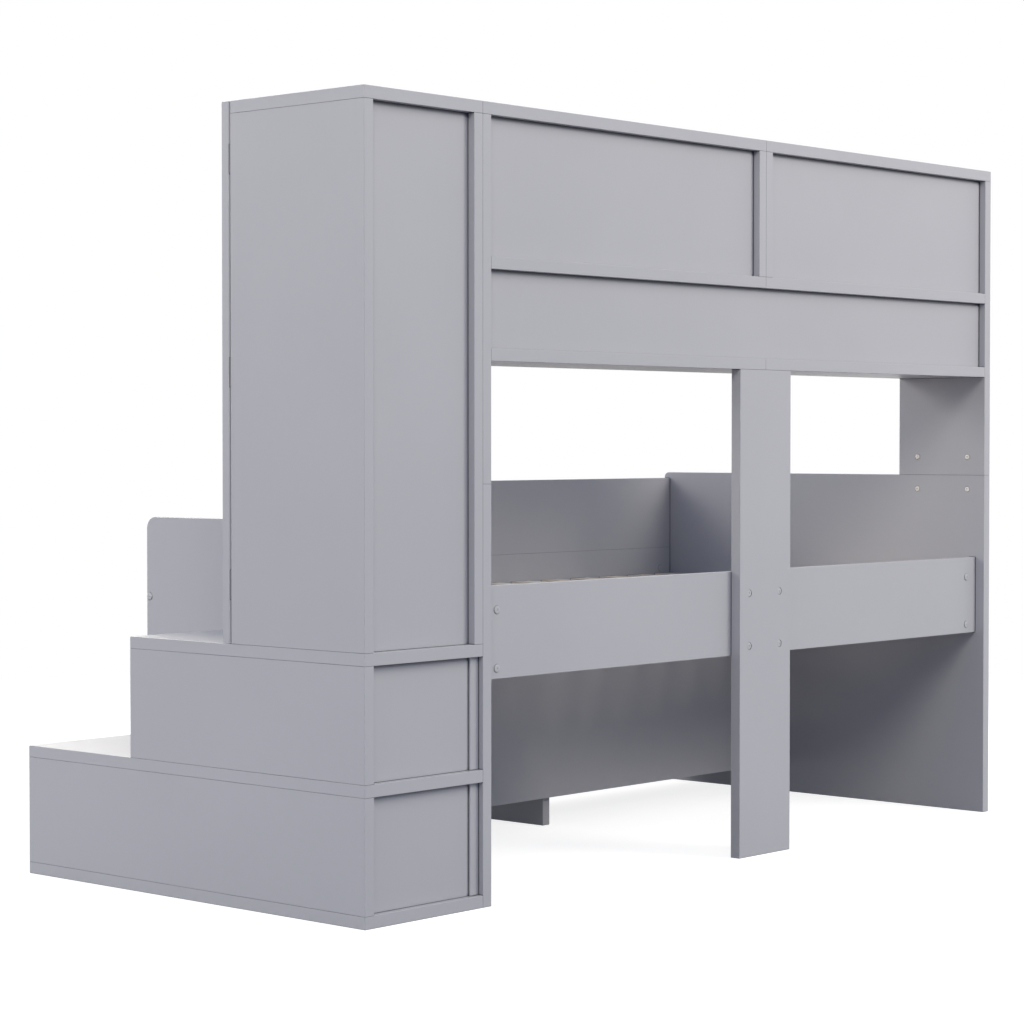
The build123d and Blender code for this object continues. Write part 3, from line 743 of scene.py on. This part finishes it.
ledgerLow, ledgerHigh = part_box("slat_ledgers")
ledgerPlaces = {"width": 0.03, "screws": 9, "inset": 0.07}
ledgerStep = (ledgerHigh.x - ledgerLow.x - 2 * ledgerPlaces["inset"]) / (ledgerPlaces["screws"] - 1)
ledgerScrewSpots = []
for i in range(ledgerPlaces["screws"]):
    x = ledgerLow.x + ledgerPlaces["inset"] + ledgerStep * i
    z = (ledgerLow.z + ledgerHigh.z) / 2
    ledgerScrewSpots.append(((x, ledgerLow.y + ledgerPlaces["width"], z), back))
    ledgerScrewSpots.append(((x, ledgerHigh.y - ledgerPlaces["width"], z), front))
ledgerScrewSizes = {**screwSizes, "Head Radius": 0.004, "Shank Length": 0.04}
growPiece("ledgerScrews", "frame", "fitting_steel", ledgerScrewSpots, ledgerScrewSizes, growScrews)

hingePlaces = {
    "levels": (0.675, 1.1175, 1.56),
    "fromPin": 0.0125,
    "spread": 0.02,
    "caseFace": 0.1401,
    "doorFace": 0.1389,
}
hingeScrewSizes = {
    **screwSizes,
    "Head Radius": 0.0022,
    "Shank Radius": 0.001,
    "Shank Length": 0.016,
}
pinLow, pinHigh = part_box("hinge_pins")
hingeScrewX = (pinLow.x + pinHigh.x) / 2 - hingePlaces["fromPin"]
hingeScrewLevels = [
    level + turn * hingePlaces["spread"] for level in hingePlaces["levels"] for turn in (-1, 0, 1)
]
caseScrewSpots = [((hingeScrewX, hingePlaces["caseFace"], z), front) for z in hingeScrewLevels]
doorScrewSpots = [((hingeScrewX, hingePlaces["doorFace"], z), back) for z in hingeScrewLevels]
growPiece("caseHingeScrews", "frame", "hinge_enamel", caseScrewSpots, hingeScrewSizes, growScrews)
growPiece("doorHingeScrews", "door", "hinge_enamel", doorScrewSpots, hingeScrewSizes, growScrews)

runnerLow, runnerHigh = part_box("drawer_runners")
runnerPlaces = {
    "reach": 0.0095,
    "levels": (0.106, 0.369),
    "starts": (-0.495, -0.143),
    "length": 0.4,
    "inset": 0.03,
    "shares": (0.0, 0.5, 1.0),
}
runnerScrewSizes = {**screwSizes, "Head Radius": 0.0032, "Shank Length": 0.022}
runnerScrewSpots = []
for level, start in zip(runnerPlaces["levels"], runnerPlaces["starts"]):
    for share in runnerPlaces["shares"]:
        y = start + runnerPlaces["inset"]
        y += share * (runnerPlaces["length"] - 2 * runnerPlaces["inset"])
        runnerScrewSpots.append(((runnerLow.x + runnerPlaces["reach"], y, level), near))
        runnerScrewSpots.append(((runnerHigh.x - runnerPlaces["reach"], y, level), far))
growPiece("runnerScrews", "frame", "fitting_steel", runnerScrewSpots, runnerScrewSizes, growScrews)


# Studio: a pale floor with a faint shadow, a room that camera and gloss see white, and soft lamps.


def seenDirectly(tree):
    # 1 for rays that should meet plain white: camera, gloss and transmission
    path = Wire(tree).node("ShaderNodeLightPath", output="Is Camera Ray")
    mirrored = path.math("MAXIMUM", path.other("Is Glossy Ray"), path.other("Is Transmission Ray"))
    return path.math("MAXIMUM", path, mirrored)


floorLook = {
    "side": 60.0,
    "drop": 0.0005,
    "glow": 0.82,
    "farGlow": 1.0,
    "shadowTone": (0.36, 0.36, 0.36, 1.0),
    "bounceTone": (0.215, 0.215, 0.24, 1.0),
    "fade": (2.5, 5.0),
}
half = floorLook["side"] / 2
floorMesh = bpy.data.meshes.new("studioFloor")
corners = [(-half, -half), (half, -half), (half, half), (-half, half)]
floorMesh.from_pydata([(x, y, -floorLook["drop"]) for x, y in corners], [], [(0, 1, 2, 3)])
floor = bpy.data.objects.new("studioFloor", floorMesh)
bpy.context.scene.collection.objects.link(floor)
floorFinish = bpy.data.materials.new("paleFloor")
floorFinish.use_nodes = True
floorTree = floorFinish.node_tree
floorTree.nodes.clear()
floorWire = seenDirectly(floorTree)
glow = floorWire.node("ShaderNodeEmission", None, {"Strength": floorLook["glow"]})
shadowed = floorWire.node("ShaderNodeBsdfDiffuse", None, {"Color": floorLook["shadowTone"]})
seen = floorWire.node("ShaderNodeAddShader", None, {0: glow, 1: shadowed})
plain = floorWire.node("ShaderNodeEmission", None, {"Strength": floorLook["farGlow"]})
spread = floorWire.node("ShaderNodeTexCoord", output="Object")
distance = spread.node("ShaderNodeVectorMath", {"operation": "LENGTH"}, {0: spread}, "Value")
fade = distance.step(*floorLook["fade"])
faded = floorWire.node("ShaderNodeMixShader", None, {0: fade, 1: seen, 2: plain})
bounce = floorWire.node("ShaderNodeBsdfDiffuse", None, {"Color": floorLook["bounceTone"]})
floorMix = floorWire.node("ShaderNodeMixShader", None, {0: floorWire, 1: bounce, 2: faded})
plug(floorTree, floorMix, floorTree.nodes.new("ShaderNodeOutputMaterial").inputs["Surface"])
floorMesh.materials.append(floorFinish)

roomLook = {
    "above": (0.28, 0.365, 0.56, 1.0),
    "below": (0.235, 0.3, 0.44, 1.0),
    "seen": (1.0, 1.0, 1.0, 1.0),
    "horizon": (-0.25, 0.25),
    "strength": 1.0,
}
room = bpy.data.worlds.new("studioRoom")
room.use_nodes = True
room.node_tree.nodes.clear()
roomWire = seenDirectly(room.node_tree)
direction = roomWire.node("ShaderNodeTexCoord", output="Generated")
height = roomWire.node("ShaderNodeSeparateXYZ", None, {0: direction}).other("Z")
fillTone = height.step(*roomLook["horizon"]).blend(roomLook["below"], roomLook["above"])
strength = roomLook["strength"]
fill = roomWire.node("ShaderNodeBackground", None, {"Color": fillTone, "Strength": strength})
white = roomWire.node(
    "ShaderNodeBackground", None, {"Color": roomLook["seen"], "Strength": strength}
)
roomMix = roomWire.node("ShaderNodeMixShader", None, {0: roomWire, 1: fill, 2: white})
plug(room.node_tree, roomMix, room.node_tree.nodes.new("ShaderNodeOutputWorld").inputs["Surface"])
bpy.context.scene.world = room

lampTone = (1.0, 0.945, 0.82)
lampLooks = {
    "keyLamp": {
        "place": (4.2, 3.8, 4.4),
        "aim": (0.0, 0.0, 0.8),
        "size": 2.6,
        "power": 154.0,
        "inGloss": True,
    },
    "backLamp": {
        "place": (-2.2, 5.2, 3.4),
        "aim": (-0.3, 0.5, 0.8),
        "size": 2.6,
        "power": 219.0,
        "inGloss": False,
    },
    "stepLamp": {
        "place": (4.4, -4.2, 3.4),
        "aim": (0.8, -0.2, 0.6),
        "size": 2.6,
        "power": 109.0,
        "inGloss": False,
    },
    "lowLamp": {
        "place": (5.6, -1.8, 1.6),
        "aim": (1.1, 0.0, 0.6),
        "size": 2.0,
        "power": 66.0,
        "inGloss": False,
    },
    "frontLamp": {
        "place": (-1.5, -5.0, 3.4),
        "aim": (0.0, 0.0, 0.8),
        "size": 3.0,
        "power": 163.0,
        "inGloss": True,
    },
    "farLamp": {
        "place": (-5.4, 1.0, 3.4),
        "aim": (-1.1, 0.0, 0.8),
        "size": 3.0,
        "power": 84.0,
        "inGloss": False,
    },
}
for name, look in lampLooks.items():
    lamp = bpy.data.lights.new(name, "AREA")
    lamp.shape = "DISK"
    lamp.size = look["size"]
    lamp.energy = look["power"]
    lamp.color = lampTone
    holder = bpy.data.objects.new(name, lamp)
    holder.location = look["place"]
    beam = Vector(look["aim"]) - Vector(look["place"])
    holder.rotation_euler = beam.to_track_quat("-Z", "Y").to_euler()
    holder.visible_camera = False
    holder.visible_glossy = look["inGloss"]  # where False, the lamp leaves no glare on the boards
    bpy.context.scene.collection.objects.link(holder)

camera = bpy.data.objects.new("photoCamera", bpy.data.cameras.new("photoCamera"))
cameraLook = {
    "place": (4.929, 4.307, 0.9745),
    "aim": (-0.74466, -0.66744),
    "tiltDown": 1.4265,
    "lens": 94.374,
    "sensor": 36.0,
}
tilt = math.radians(cameraLook["tiltDown"])
sight = Vector((*[part * math.cos(tilt) for part in cameraLook["aim"]], -math.sin(tilt)))
camera.location = cameraLook["place"]
camera.rotation_euler = sight.to_track_quat("-Z", "Y").to_euler()
camera.data.lens = cameraLook["lens"]
camera.data.sensor_width = cameraLook["sensor"]
bpy.context.scene.collection.objects.link(camera)
bpy.context.scene.camera = camera
bpy.context.scene.view_settings.view_transform = "Standard"
print("studio ready:", len(lampLooks), "lamps")
